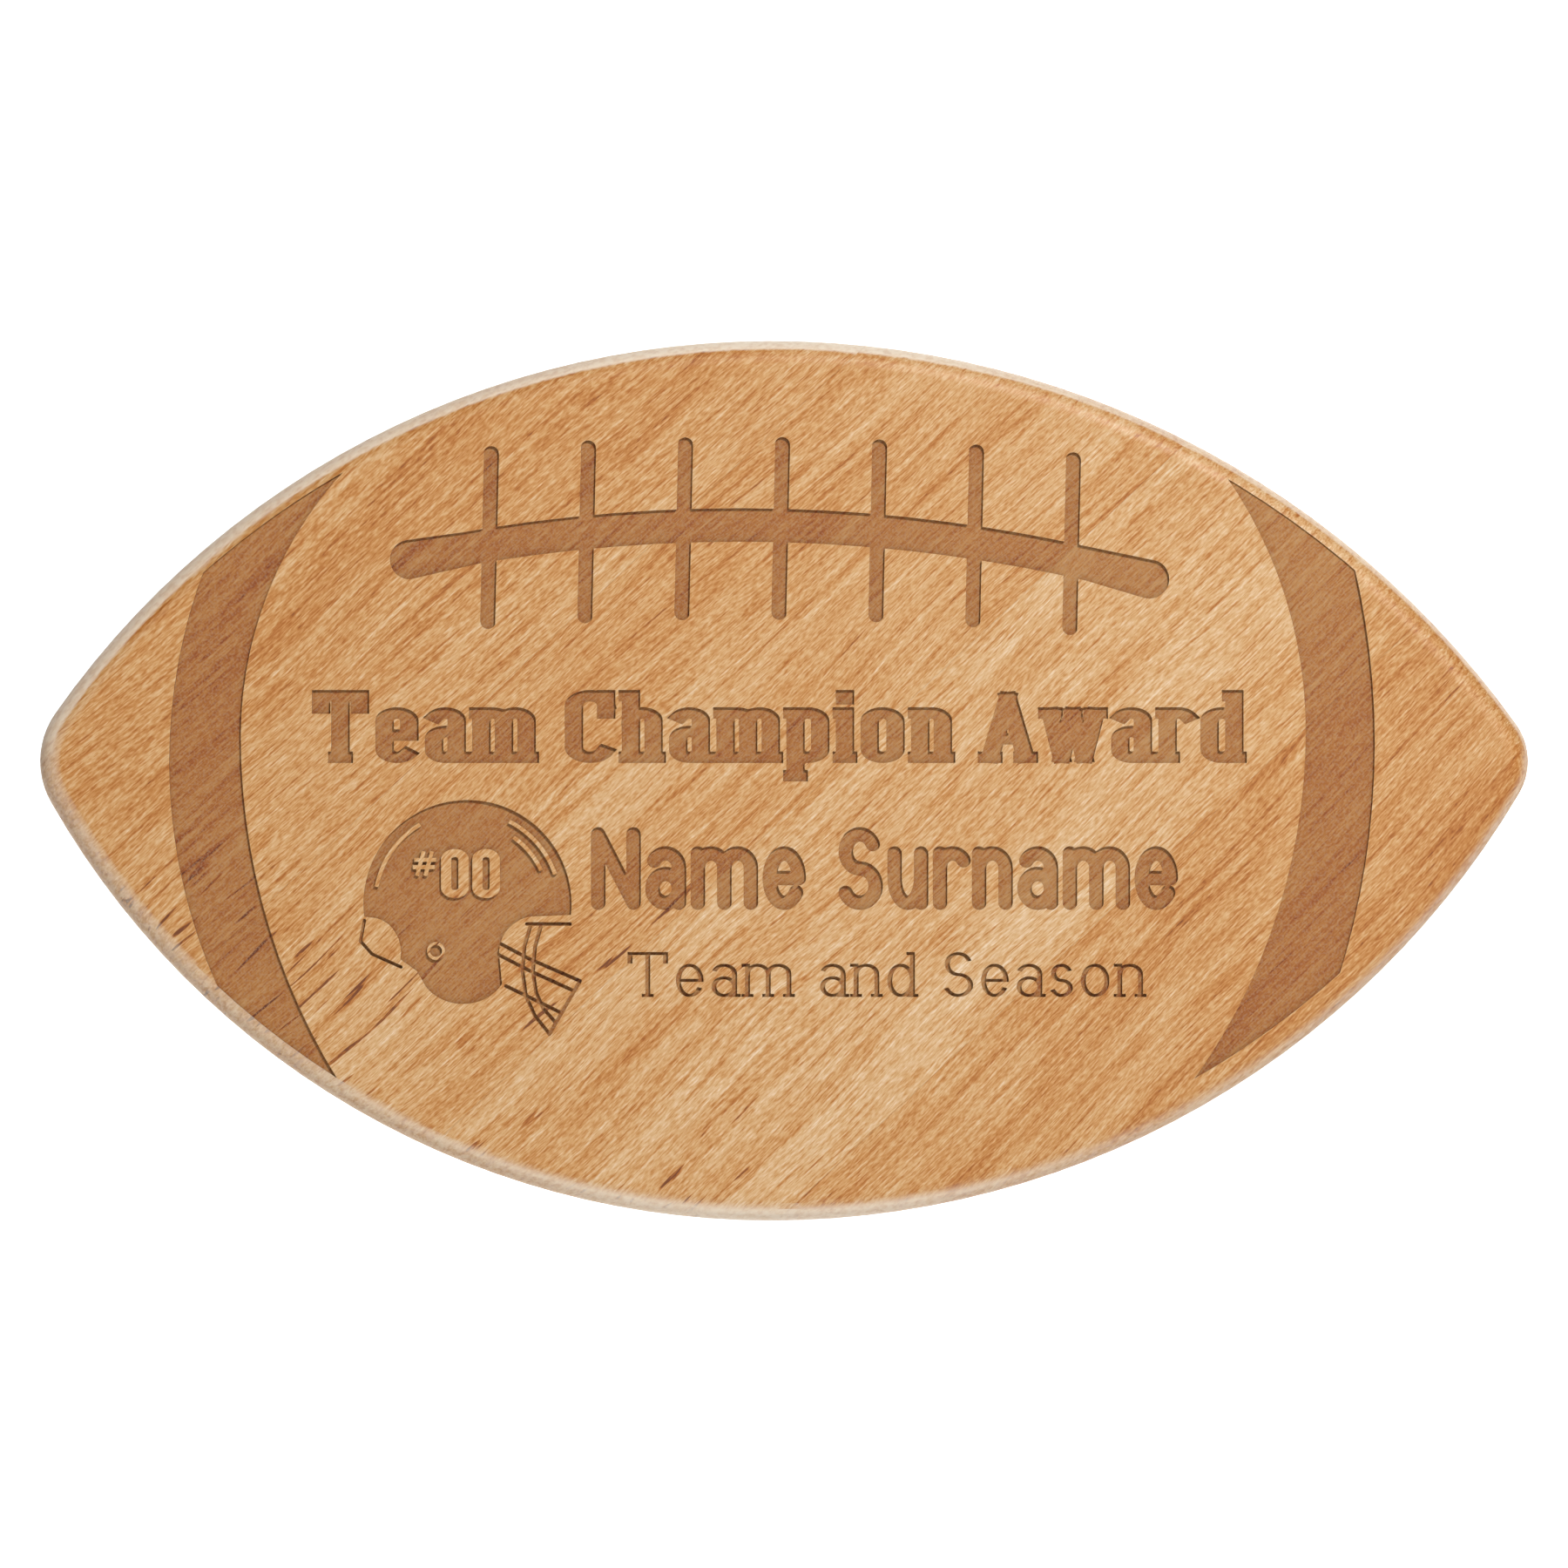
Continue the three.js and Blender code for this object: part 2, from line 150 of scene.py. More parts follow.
class Shader:
    def __init__(self, tree):
        self.tree = tree

    def put(self, socket, value):
        """Links a socket to a value, or sets it to a plain number, vector or colour."""
        if isinstance(value, Value):
            self.tree.links.new(value.socket, socket)
        else:
            socket.default_value = value

    def node(self, kind, settings=None, *values, output=0, numbered=None, **named):
        """Adds a node and sets it up, then fills its sockets: in their order, by number or by name."""
        made = self.tree.nodes.new(kind)
        for key, value in (settings or {}).items():
            if key == "stops":
                set_stops(made.color_ramp, value)
            else:
                setattr(made, key, value)
        for key, value in [*enumerate(values), *(numbered or {}).items(), *named.items()]:
            self.put(made.inputs[key], value)
        return Value(self.tree, made.outputs[output])

    def coordinates(self, kind="Object"):
        return self.node("ShaderNodeTexCoord", output=kind)

    def part_of(self, vector, axis):
        return self.node("ShaderNodeSeparateXYZ", None, vector, output=axis)

    def mix(self, factor, first, second, blend="MIX"):
        """A Mix node has its colour sockets after those for numbers and vectors, so they go by number."""
        settings = {"data_type": "RGBA", "blend_type": blend}
        return self.node("ShaderNodeMix", settings, numbered={0: factor, 6: first, 7: second}, output=2)


def set_stops(color_ramp, stops):
    while len(color_ramp.elements) < len(stops):
        color_ramp.elements.new(0.5)
    for element, (position, colour) in zip(color_ramp.elements, stops):
        element.position = position
        element.color = colour


# %% Materials and colours
def new_material(name):
    material = bpy.data.materials.new(name)
    material.use_nodes = True
    surface = material.node_tree.nodes["Principled BSDF"]
    return material, Shader(material.node_tree), surface


def feed(shader, surface, **inputs):
    """Fills the sockets of a surface. Base_Color here is the socket named Base Color."""
    for name, value in inputs.items():
        shader.put(surface.inputs[name.replace("_", " ")], value)


def srgb(red, green, blue):
    """A colour given as it is seen on a screen, from 0 to 255, as the linear colour that a shader needs."""

    def linear(value):
        value /= 255
        return value / 12.92 if value <= 0.04045 else ((value + 0.055) / 1.055) ** 2.4

    return (linear(red), linear(green), linear(blue), 1.0)


def grey(level):
    return (level, level, level, 1.0)


print(f"half way up on a screen is {srgb(128, 128, 128)[0]:.2f} in linear light")

# %% [markdown]
# ## Camera, floor and light
#
# The plaque is seen straight on through a long lens, so its sides don't show. A pale sweep is floor and
# backdrop in one: a plane with its back edge turned up in a wide bend, so that no corner shows. It glows
# where it lies behind the plaque, because a backdrop that only catches light comes out grey.
#
# A lamp's size decides how sharp its shadows are. The key lamp is small, above and to the right, so it draws
# a thin crisp shadow inside the upper and right edges of each cut. The world's even light keeps the rest of
# the face level. The fill at the lower left adds little to it, because most of that lamp lies below the
# floor, and the third lamp lights the back.

# %% Camera
VIEW_WIDTH = 313.6 * MM
VIEW_BELOW_TIPS = 4.6 * MM
CAMERA_DISTANCE = 1.7
SENSOR_WIDTH = 36

low, high = (Vector(corner) for corner in cad_box)
centre = (low + high) / 2
camera_data = bpy.data.cameras.new("camera")
camera_data.sensor_width = SENSOR_WIDTH
camera_data.lens = SENSOR_WIDTH * CAMERA_DISTANCE / VIEW_WIDTH
camera = bpy.data.objects.new("camera", camera_data)
camera.location = on_face(0, -VIEW_BELOW_TIPS, FACE_Y - CAMERA_DISTANCE)
camera.rotation_euler = (math.radians(90), 0, 0)
bpy.context.scene.collection.objects.link(camera)
bpy.context.scene.camera = camera
bpy.context.scene.view_settings.view_transform = "Standard"
print(f"lens {camera_data.lens:.0f} mm")


# %% Floor and backdrop
def deselect():
    if bpy.context.object and bpy.context.object.mode != "OBJECT":
        bpy.ops.object.mode_set(mode="OBJECT")
    bpy.ops.object.select_all(action="DESELECT")


def activate(*objects):
    deselect()
    for obj in objects:
        obj.select_set(True)
    bpy.context.view_layer.objects.active = objects[0]


SWEEP_SIZE = 16.0
SWEEP_BEND = 1.2
BEND_SEGMENTS = 24
FLOOR_BELOW = 0.22
GLOW_BEHIND = (0.1, 0.6)
FLOOR_GLOW = grey(0.1)
BACKDROP_GLOW = grey(1.0)
PAPER = grey(0.86)

deselect()
bpy.ops.mesh.primitive_plane_add(size=SWEEP_SIZE, location=(0, 0, low.z - FLOOR_BELOW))
sweep = bpy.context.object
sweep.name = "sweep"
bpy.ops.object.mode_set(mode="EDIT")
bpy.ops.mesh.select_all(action="DESELECT")
bpy.ops.mesh.select_mode(type="EDGE")
bpy.ops.object.mode_set(mode="OBJECT")
for edge in sweep.data.edges:
    edge.select = all(sweep.data.vertices[i].co.y > 0 for i in edge.vertices)
bpy.ops.object.mode_set(mode="EDIT")
bpy.ops.mesh.extrude_region_move(TRANSFORM_OT_translate={"value": (0, 0, SWEEP_SIZE / 2)})
bpy.ops.object.mode_set(mode="OBJECT")
bend = sweep.modifiers.new("bend", "BEVEL")
bend.width = SWEEP_BEND
bend.segments = BEND_SEGMENTS
bpy.ops.object.modifier_apply(modifier="bend")
bpy.ops.object.shade_smooth()
paper, paper_shader, paper_surface = new_material("paper")
behind = paper_shader.part_of(paper_shader.coordinates(), "Y").step(*GLOW_BEHIND)
glow = paper_shader.mix(behind, FLOOR_GLOW, BACKDROP_GLOW)
feed(paper_shader, paper_surface, Base_Color=PAPER, Roughness=0.9)
feed(paper_shader, paper_surface, Emission_Color=glow, Emission_Strength=1.0)
sweep.data.materials.append(paper)
print("sweep:", len(sweep.data.polygons), "faces")


# %% Lamps
LAMPS = [  # name, place and size in metres, power in watts
    ("key", (0.56, -1.4, 0.94), 0.16, 24),
    ("fill", (-1.0, -1.4, -0.9), 1.4, 3),
    ("back_fill", (0.6, 1.4, 0.9), 1.2, 5),
]
WORLD_LIGHT = 0.165


def lamp(name, place, size, power):
    """A square lamp that points at the middle of the plaque."""
    data = bpy.data.lights.new(name, "AREA")
    data.size = size
    data.energy = power
    obj = bpy.data.objects.new(name, data)
    obj.location = place
    obj.rotation_euler = (centre - Vector(place)).to_track_quat("-Z", "Y").to_euler()
    bpy.context.scene.collection.objects.link(obj)


for lamp_values in LAMPS:
    lamp(*lamp_values)

world = bpy.data.worlds.new("studio")
bpy.context.scene.world = world
world.use_nodes = True
background = world.node_tree.nodes["Background"]
background.inputs["Color"].default_value = grey(1.0)
background.inputs["Strength"].default_value = WORLD_LIGHT

# %% [markdown]
# ## Letters drawn with a pen
#
# Engraving software cuts letters from outlines, but a letter can also be kept as the few strokes that a
# pen makes, and the pen chosen afterwards. One small alphabet then gives all three styles here: a
# broad pen with slab feet for the title, a round pen for the name, and a fine pen for the last line. The
# words themselves are placeholders that say what an engraver would put there.
#
# A stroke is a list of points, in units of the capital height, with `arc` for its round stretches. A
# pen can't follow a bend that is tighter than half its own width without folding over itself. So an
# alphabet is drawn for one `cap`, the height of a round cap in half widths: a broad pen gets low caps,
# which come out circular on its narrow letters, and a fine pen gets plain ovals.

# %% The alphabet
X_HEIGHT = 0.72
DESCENT = -0.3
OVAL = 10
SAME_POINT = 0.001


def arc(x, z, radius_x, radius_z, start, end, steps=18):
    angles = [math.radians(start + (end - start) * i / steps) for i in range(steps + 1)]
    return [(x + radius_x * math.cos(a), z + radius_z * math.sin(a)) for a in angles]


def joined(*parts):
    """Runs of points as one stroke, without the points that repeat the one before."""
    points = [point for part in parts for point in part]
    near = [math.dist(first, second) < SAME_POINT for first, second in zip(points, points[1:])]
    return points[:1] + [point for point, repeats in zip(points[1:], near) if not repeats]


def alphabet(cap):
    def rise(radius, height):
        return min(height / 2, radius * cap)

    def top(radius, height, start, end, x=0.0):
        up = rise(radius, height)
        return arc(x + radius, height - up, radius, up, start, end)

    def bottom(radius, height, start, end, x=0.0):
        up = rise(radius, height)
        return arc(x + radius, up, radius, up, start, end)

    def bowl(radius, height=X_HEIGHT):
        ring = joined(top(radius, height, 0, 180), bottom(radius, height, 180, 360))
        return (ring[:-1] if math.dist(ring[0], ring[-1]) < SAME_POINT else ring) + ["closed"]

    def shoulder(x, radius, start=180, end=0):
        up = radius * min(cap, 1)
        return arc(x + radius, X_HEIGHT - up, radius, up, start, end)

    def s_curve(width, height):
        upper = arc(width / 2, 0.75 * height, 0.45 * width, 0.25 * height, 25, 270)
        lower = arc(width / 2, 0.25 * height, 0.5 * width, 0.25 * height, 90, -155)
        return joined(upper, lower)

    def stem(x, low=0.0, high=X_HEIGHT):
        return [(x, low), (x, high)]

    return {
        "T": (0.72, [[(0, 1), (0.72, 1)], stem(0.36, 0, 1), stem(0, 0.8, 1), stem(0.72, 0.8, 1)]),
        "C": (0.6, [joined(top(0.3, 1, 8, 180), bottom(0.3, 1, 180, 335)), stem(0.6, 0.72, 1)]),
        "A": (0.66, [[(0, 0), (0.33, 0.97)], [(0.66, 0), (0.33, 0.97)], [(0.12, 0.3), (0.54, 0.3)]]),
        "N": (0.56, [stem(0, 0, 1), [(0, 1), (0.56, 0)], stem(0.56, 0, 1)]),
        "S": (0.5, [s_curve(0.5, 1)]),
        "a": (0.42, [[(0.42, 0), *shoulder(0, 0.21, 0, 150)], bowl(0.21, 0.42)]),
        "d": (0.46, [stem(0.46, 0, 1), bowl(0.23)]),
        "e": (
            0.46,
            [
                [(0, X_HEIGHT / 2), (0.46, X_HEIGHT / 2)],
                joined([(0.46, X_HEIGHT / 2)], top(0.23, X_HEIGHT, 0, 180), bottom(0.23, X_HEIGHT, 180, 325)),
            ],
        ),
        "h": (0.42, [stem(0, 0, 1), [*shoulder(0, 0.21), (0.42, 0)]]),
        "i": (0.0, [stem(0), stem(0, 0.95, 1)]),
        "m": (0.84, [stem(0), [*shoulder(0, 0.21), (0.42, 0)], [*shoulder(0.42, 0.21), (0.84, 0)]]),
        "n": (0.42, [stem(0), [*shoulder(0, 0.21), (0.42, 0)]]),
        "o": (0.48, [bowl(0.24)]),
        "p": (0.46, [stem(0, DESCENT), bowl(0.23)]),
        "r": (0.32, [stem(0), shoulder(0, 0.2, end=30)]),
        "s": (0.36, [s_curve(0.36, X_HEIGHT)]),
        "u": (0.42, [joined([(0, X_HEIGHT)], bottom(0.21, X_HEIGHT, 180, 360)), stem(0.42)]),
        "w": (
            0.84,
            [
                [(0, X_HEIGHT), (0.21, 0)],
                [(0.42, X_HEIGHT), (0.21, 0)],
                [(0.42, X_HEIGHT), (0.63, 0)],
                [(0.84, X_HEIGHT), (0.63, 0)],
            ],
        ),
        "0": (0.5, [bowl(0.25, 1)]),
        "#": (
            0.6,
            [
                [(0.1, 0.05), (0.26, 0.95)],
                [(0.34, 0.05), (0.5, 0.95)],
                [(0.02, 0.34), (0.54, 0.34)],
                [(0.06, 0.66), (0.58, 0.66)],
            ],
        ),
    }


print(len(alphabet(OVAL)), "glyphs")


# %% [markdown]
# A line of words is fitted to its place: the letters are set side by side, and the whole line is
# stretched to the width it has to fill. A slab foot is a short bar across each end of an upright stroke
# that stands free.


# %% Setting a line of words
WORD_SPACE = 0.42
LONG_RUN = 0.3
UPRIGHT = 0.01


def free_ends(strokes):
    """Each end of a stroke that is reached by a long steep run, and whether that run is upright."""
    ends = []
    for stroke in strokes:
        for end, before in ((stroke[0], stroke[1]), (stroke[-1], stroke[-2])):
            rise, slant = abs(end[1] - before[1]), abs(end[0] - before[0])
            if rise > LONG_RUN and slant < rise / 2:
                ends.append((end, slant < UPRIGHT))
    places = [end for end, upright in ends]
    return [(end, upright) for end, upright in ends if places.count(end) == 1]


def feet(strokes, reach, small_letter):
    """A short bar across each free end. The upright tops of small letters have theirs to the left only."""
    bars = []
    for (x, z), upright in free_ends(strokes):
        left_only = small_letter and upright and z > 0
        bars.append([(x - reach, z), (x if left_only else x + reach, z)])
    return bars


def set_line(words, cap, letter_gap, foot=0.0):
    """The strokes of a line, in capital heights, and how long the line is."""
    glyphs, strokes, x = alphabet(cap), [], 0.0
    for character in words:
        if character == " ":
            x += WORD_SPACE
            continue
        width, glyph = glyphs[character]
        lines = [line for line in glyph if line[-1] != "closed"]
        whole = glyph + (feet(lines, foot, character.islower()) if foot else [])
        for stroke in whole:
            strokes.append([p if p == "closed" else (x + p[0], p[1]) for p in stroke])
        x += width + letter_gap
    return strokes, x - letter_gap


print(len(set_line("Team", OVAL, 0.2)[0]), "strokes in a word")


# %% [markdown]
# A cutter is a solid that is taken away from the board. It stands a little out of the face, so that no face
# of it lies on a face of the board.


# %% Solids from flat curves
CUTTER_ABOVE = 0.6 * MM
CUTTER_DEPTH = ENGRAVE_DEPTH + CUTTER_ABOVE
CUTTER_MIDDLE = FACE_Y + ENGRAVE_DEPTH - CUTTER_DEPTH / 2


def new_collection(name):
    collection = bpy.data.collections.new(name)
    bpy.context.scene.collection.children.link(collection)
    return collection


def move_to(collection, objects):
    for obj in objects:
        for other in list(obj.users_collection):
            other.objects.unlink(obj)
        collection.objects.link(obj)


def delete_all(collection):
    for obj in list(collection.objects):
        bpy.data.objects.remove(obj)


cutters = new_collection("cutters")
raised = new_collection("raised")


def as_solid(curve):
    """Stands a flat curve up on the face and makes it a mesh, as deep as the cut."""
    curve.extrude = CUTTER_DEPTH / 2
    obj = bpy.data.objects.new(curve.name, curve)
    bpy.context.scene.collection.objects.link(obj)
    obj.rotation_euler = (math.radians(90), 0, 0)
    obj.location = on_face(0, 0, CUTTER_MIDDLE)
    activate(obj)
    bpy.ops.object.convert(target="MESH")
    obj = bpy.context.object
    bpy.ops.object.transform_apply(location=True, rotation=True, scale=True)
    return obj


def flat_curve(name, lines, filled=False):
    """A flat curve with one spline for each list of (x, z) points, in metres on the face."""
    curve = bpy.data.curves.new(name, "CURVE")
    curve.dimensions = "2D"
    curve.fill_mode = "BOTH" if filled else "NONE"
    for line in lines:
        points = [point for point in line if point != "closed"]
        spline = curve.splines.new("POLY")
        spline.points.add(len(points) - 1)
        spline.use_cyclic_u = line[-1] == "closed"
        for vertex, (x, z) in zip(spline.points, points):
            vertex.co = (x, z, 0, 1)
    return curve


print(f"cutters are {CUTTER_DEPTH / MM:.1f} mm deep, {CUTTER_ABOVE / MM:.1f} mm of it above the face")

# %% [markdown]
# A stroke becomes a cutter in three steps: it is drawn as a curve, the curve is extruded into a thin wall as
# deep as the cut, and Solidify gives the wall the width of the pen. A pen with a round nib also leaves a
# round dot at each end of a stroke.


# %% Drawing with a pen
DOT_SIDES = 20


@contextlib.contextmanager
def edit_mode(obj):
    """Opens an object in edit mode with its whole mesh selected, and closes it again."""
    activate(obj)
    bpy.ops.object.mode_set(mode="EDIT")
    bpy.ops.mesh.select_all(action="SELECT")
    yield
    bpy.ops.object.mode_set(mode="OBJECT")


def pen_strokes(name, strokes, width):
    """One solid for each stroke, whose points are (x, z) on the face in metres."""
    obj = as_solid(flat_curve(name, strokes))
    pen = obj.modifiers.new("pen", "SOLIDIFY")
    pen.thickness = width
    pen.offset = 0
    pen.use_even_offset = True
    bpy.ops.object.modifier_apply(modifier="pen")
    return obj


def dot(x, z, radius):
    deselect()
    bpy.ops.mesh.primitive_cylinder_add(
        vertices=DOT_SIDES,
        radius=radius,
        depth=CUTTER_DEPTH,
        location=on_face(x, z, CUTTER_MIDDLE),
        rotation=(math.radians(90), 0, 0),
    )
    bpy.ops.object.transform_apply(location=True, rotation=True, scale=True)
    return bpy.context.object


def split(obj):
    """The loose pieces of an object, each as an object of its own."""
    with edit_mode(obj):
        bpy.ops.mesh.normals_make_consistent(inside=False)
        bpy.ops.mesh.separate(type="LOOSE")
    return list(bpy.context.selected_objects)


def lengthened(stroke, reach):
    """An open stroke with both its ends run on by half a pen, so that bars and stems meet squarely."""
    if stroke[-1] == "closed":
        return stroke
    first, second, before, last = (Vector(stroke[i]) for i in (0, 1, -2, -1))
    start = first + (first - second).normalized() * reach
    end = last + (last - before).normalized() * reach
    return [tuple(start), *stroke[1:-1], tuple(end)]


def draw(name, strokes, width, into, round_nib=False, stretch=1.0, start=(0, 0)):
    """Draws strokes with a pen, then stretches them along the face and moves them to their start."""
    lines = strokes if round_nib else [lengthened(stroke, width / 2) for stroke in strokes]
    obj = pen_strokes(name, lines, width)
    place = Matrix.Translation((start[0], 0, start[1])) @ Matrix.Diagonal((stretch, 1, 1, 1))
    obj.data.transform(place)
    solids = split(obj)
    if round_nib:
        ends = [p for stroke in strokes if stroke[-1] != "closed" for p in (stroke[0], stroke[-1])]
        solids += [dot(start[0] + x * stretch, start[1] + z, width / 2) for x, z in ends]
    move_to(into, solids)
    return solids


print("a stroke one long, run on by half:", lengthened([(0.0, 0.0), (1.0, 0.0)], 0.5))


# %% The three lines
def write(words, left, right, baseline, height, pen, nib, cap, gap, foot=0.0, round_nib=False, into=cutters):
    """Fits a line to its place. A nib above 1 makes upright strokes that much wider than level ones."""
    strokes, length = set_line(words, cap, gap, foot)
    up = height - pen
    across = (right - left - pen * nib) / (length * nib)
    placed = [[p if p == "closed" else (p[0] * across, p[1] * up) for p in stroke] for stroke in strokes]
    start = (left + pen * nib / 2, baseline + pen / 2)
    solids = draw(words.replace(" ", "_").lower(), placed, pen, into, round_nib, nib, start)
    print(f"{words}: {len(solids)} solids, letters {across * nib / up:.2f} as wide as drawn")


LINES = [  # words; left, right, baseline, height and pen in mm; nib, cap, gap, foot, round nib
    ("Team Champion Award", (-94.4, 91.9, -0.4, 14.6, 2.3), (1.6, 0.55, 0.46, 0.06, False)),
    ("Name Surname", (-38.6, 78.8, -29.8, 16.6, 2.9), (1.0, OVAL, 0.3, 0.0, True)),
    ("Team and Season", (-31.3, 71.8, -47.2, 9.0, 0.62), (1.6, OVAL, 0.26, 0.07, False)),
]
for words, place, style in LINES:
    write(words, *(length * MM for length in place), *style)

# %% [markdown]
# ## The helmet
#
# The helmet is one sunk shape with a few things left standing in it: a number, highlights on the dome and
# the rim of an ear hole. So its cutter is made first, and what stands is taken out of the cutter by a
# Boolean. The bars of the face mask and the pad behind the neck are outlines, drawn with a fine pen. Its
# points are in millimetres on the face.

# %% The helmet's shell
DOME_X, DOME_Z, DOME_RADIUS = -63.3, -28.6, 20.8
MERGE_DISTANCE = 0.002 * MM


def in_mm(points):
    return [p if p == "closed" else (p[0] * MM, p[1] * MM) for p in points]


def round_dome(radius, start, end, steps=24):
    return arc(DOME_X, DOME_Z, radius, radius, start, end, steps)


def cut_away(obj, tools):
    """Takes every solid of a collection away from an object, in one Boolean."""
    cut = obj.modifiers.new("cut", "BOOLEAN")
    cut.operation = "DIFFERENCE"
    cut.solver = "MANIFOLD"
    cut.operand_type = "COLLECTION"
    cut.collection = tools
    activate(obj)
    bpy.ops.object.modifier_apply(modifier="cut")


shell_outline = [
    *round_dome(DOME_RADIUS, -6, 187, 56),
    *arc(-83.0, -38.2, 6.4, 7.0, 75, -12, 8),
    (-73.4, -42.0),
    *arc(-64.2, -40.6, 9.0, 8.0, 214, 330, 16),
    *arc(-49.4, -38.4, 7.6, 7.4, 192, 100, 12),
    "closed",
]
shell = as_solid(flat_curve("helmet_shell", [in_mm(shell_outline)], filled=True))
with edit_mode(shell):
    bpy.ops.mesh.remove_doubles(threshold=MERGE_DISTANCE)
    bpy.ops.mesh.normals_make_consistent(inside=False)
print("shell:", len(shell.data.polygons), "faces")

# %% What stands in the shell
write("#", -74.4 * MM, -69.4 * MM, -23.2 * MM, 5.4 * MM, 0.8 * MM, 1.0, OVAL, 0, into=raised)
write("00", -68.6 * MM, -56.8 * MM, -27.4 * MM, 9.8 * MM, 1.6 * MM, 1.3, 0.62, 0.4, into=raised)
highlights = [round_dome(18.5, 20, 62), round_dome(18.5, 122, 168), round_dome(16.2, 26, 54)]
draw("highlights", [in_mm(line) for line in highlights], 0.8 * MM, raised)
ear = [arc(-69.6, -38.0, 1.5, 1.5, 0, 360, 20)[:-1] + ["closed"]]
draw("ear", [in_mm(line) for line in ear], 0.6 * MM, raised)

cut_away(shell, raised)
move_to(cutters, [shell])
delete_all(raised)
print("shell with what stands in it:", len(shell.data.polygons), "faces")

# %% Face mask and neck pad
cage = [
    [(-42.8, -32.6), (-51.4, -32.6)],
    [(-50.6, -32.6), (-51.9, -37.0), (-52.3, -42.0), (-51.6, -47.0), (-49.8, -51.0), (-46.9, -54.6)],
    [(-48.5, -32.6), (-49.8, -37.2), (-50.2, -42.0), (-49.6, -46.2), (-48.1, -49.6), (-45.6, -52.4)],
    [(-57.0, -36.4), (-50.9, -39.6), (-40.8, -44.0)],
    [(-57.0, -38.8), (-51.0, -41.9), (-42.0, -46.0)],
    [(-55.6, -45.0), (-44.5, -50.4)],
    [(-40.8, -44.0), (-46.9, -54.6)],
]
pad = [[(-83.9, -31.9), (-84.7, -36.0), (-82.4, -38.6), (-76.6, -41.2)]]
draw("cage", [in_mm(line) for line in cage], 0.75 * MM, cutters, round_nib=True)
draw("pad", [in_mm(line) for line in pad], 0.65 * MM, cutters, round_nib=True)

# %% [markdown]
# ## Cutting the staves
#
# The CAD staves are loose triangles, so each copy is merged before anything is cut from it. One Boolean
# per stave then takes away all the cutters.


# %% Copies of the staves
def copy_of(node, name):
    source = frame["nodes"][node]
    piece = source.copy()
    piece.data = source.data.copy()
    piece.name = name
    bpy.context.scene.collection.objects.link(piece)
    piece.matrix_world = source.matrix_world
    activate(piece)
    bpy.ops.object.parent_clear(type="CLEAR_KEEP_TRANSFORM")
    with edit_mode(piece):
        bpy.ops.mesh.remove_doubles(threshold=MERGE_DISTANCE)
    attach(piece, "root")
    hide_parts(node)
    return piece


boards = [copy_of(node, node + "_engraved") for node in STAVES]
for board in boards:
    cut_away(board, cutters)
    print(board.name, len(board.data.polygons), "faces")
delete_all(cutters)

# %% [markdown]
# A Boolean leaves slivers, and a smooth normal that passes through a sliver can lean any way, which shows
# as a dark wedge. So the corner normals are laid one by one: a flat face looks straight out, the round-over
# starts and ends level with the flats, and no corner leans away from its own face by more than one step
# of the round-over.

# %% Normals of the cut boards
ROUND_OVER_STEP = math.radians(16)
SHARP_EDGE = math.radians(30)
ON_PLANE = 0.001 * MM
FLAT = 0.9999
LEANS_OUT = 0.1


def lay_normals(board):
    activate(board)
    bpy.ops.object.shade_smooth_by_angle(angle=SHARP_EDGE)
    mesh = board.data
    normals = [corner.vector.copy() for corner in mesh.corner_normals]
    for face in mesh.polygons:
        flat = abs(face.normal.y) > FLAT
        for corner, vertex in zip(face.loop_indices, face.vertices):
            y = mesh.vertices[vertex].co.y
            if face.normal.y < -LEANS_OUT and (flat or abs(y - FACE_Y) < ON_PLANE):
                normals[corner] = Vector((0, -1, 0))
            elif face.normal.y > LEANS_OUT and (flat or abs(y - BACK_Y) < ON_PLANE):
                normals[corner] = Vector((0, 1, 0))
            elif normals[corner].angle(face.normal, 0) > ROUND_OVER_STEP:
                normals[corner] = face.normal.copy()
    mesh.normals_split_custom_set(normals)


for board in boards:
    lay_normals(board)
print("corners laid by hand:", sum(len(board.data.loops) for board in boards))

# %% [markdown]
# ## Alder
#
# Wood looks right when its pattern is solid: the streaks run through the board, so they turn the edge and
# show as end grain where the outline cuts across them. The pattern is built in the grain's own
# directions: along it, across it, and into the board. Each layer is a noise stretched along the grain, from
# broad bands down to fibres half a millimetre wide. The layers are added up into one number, the tone,
# and a ramp of alder's colours turns it into colour, so pale wood is yellower and dark wood redder,
# whichever layer made it so. Every stave comes from another place in the tree, so each gets its own tone,
# its own grain angle and its own place in the noise.

# %% Alder's colours
PALE_EDGE = srgb(248, 230, 207)
ASH = srgb(176, 142, 106)
CUT_WALL_CHAR_AND_SHADE = srgb(84, 48, 22)
ENGRAVED_TINT = (0.65, 0.475, 0.275, 1.0)
ALDER_RAMP = [
    (0.0, srgb(118, 62, 28)),
    (0.2, srgb(172, 99, 36)),
    (0.4, srgb(194, 131, 66)),
    (0.55, srgb(208, 157, 99)),
    (0.75, srgb(221, 184, 138)),
    (1.0, srgb(236, 212, 182)),
]
print("alder's ramp:", len(ALDER_RAMP), "colours")

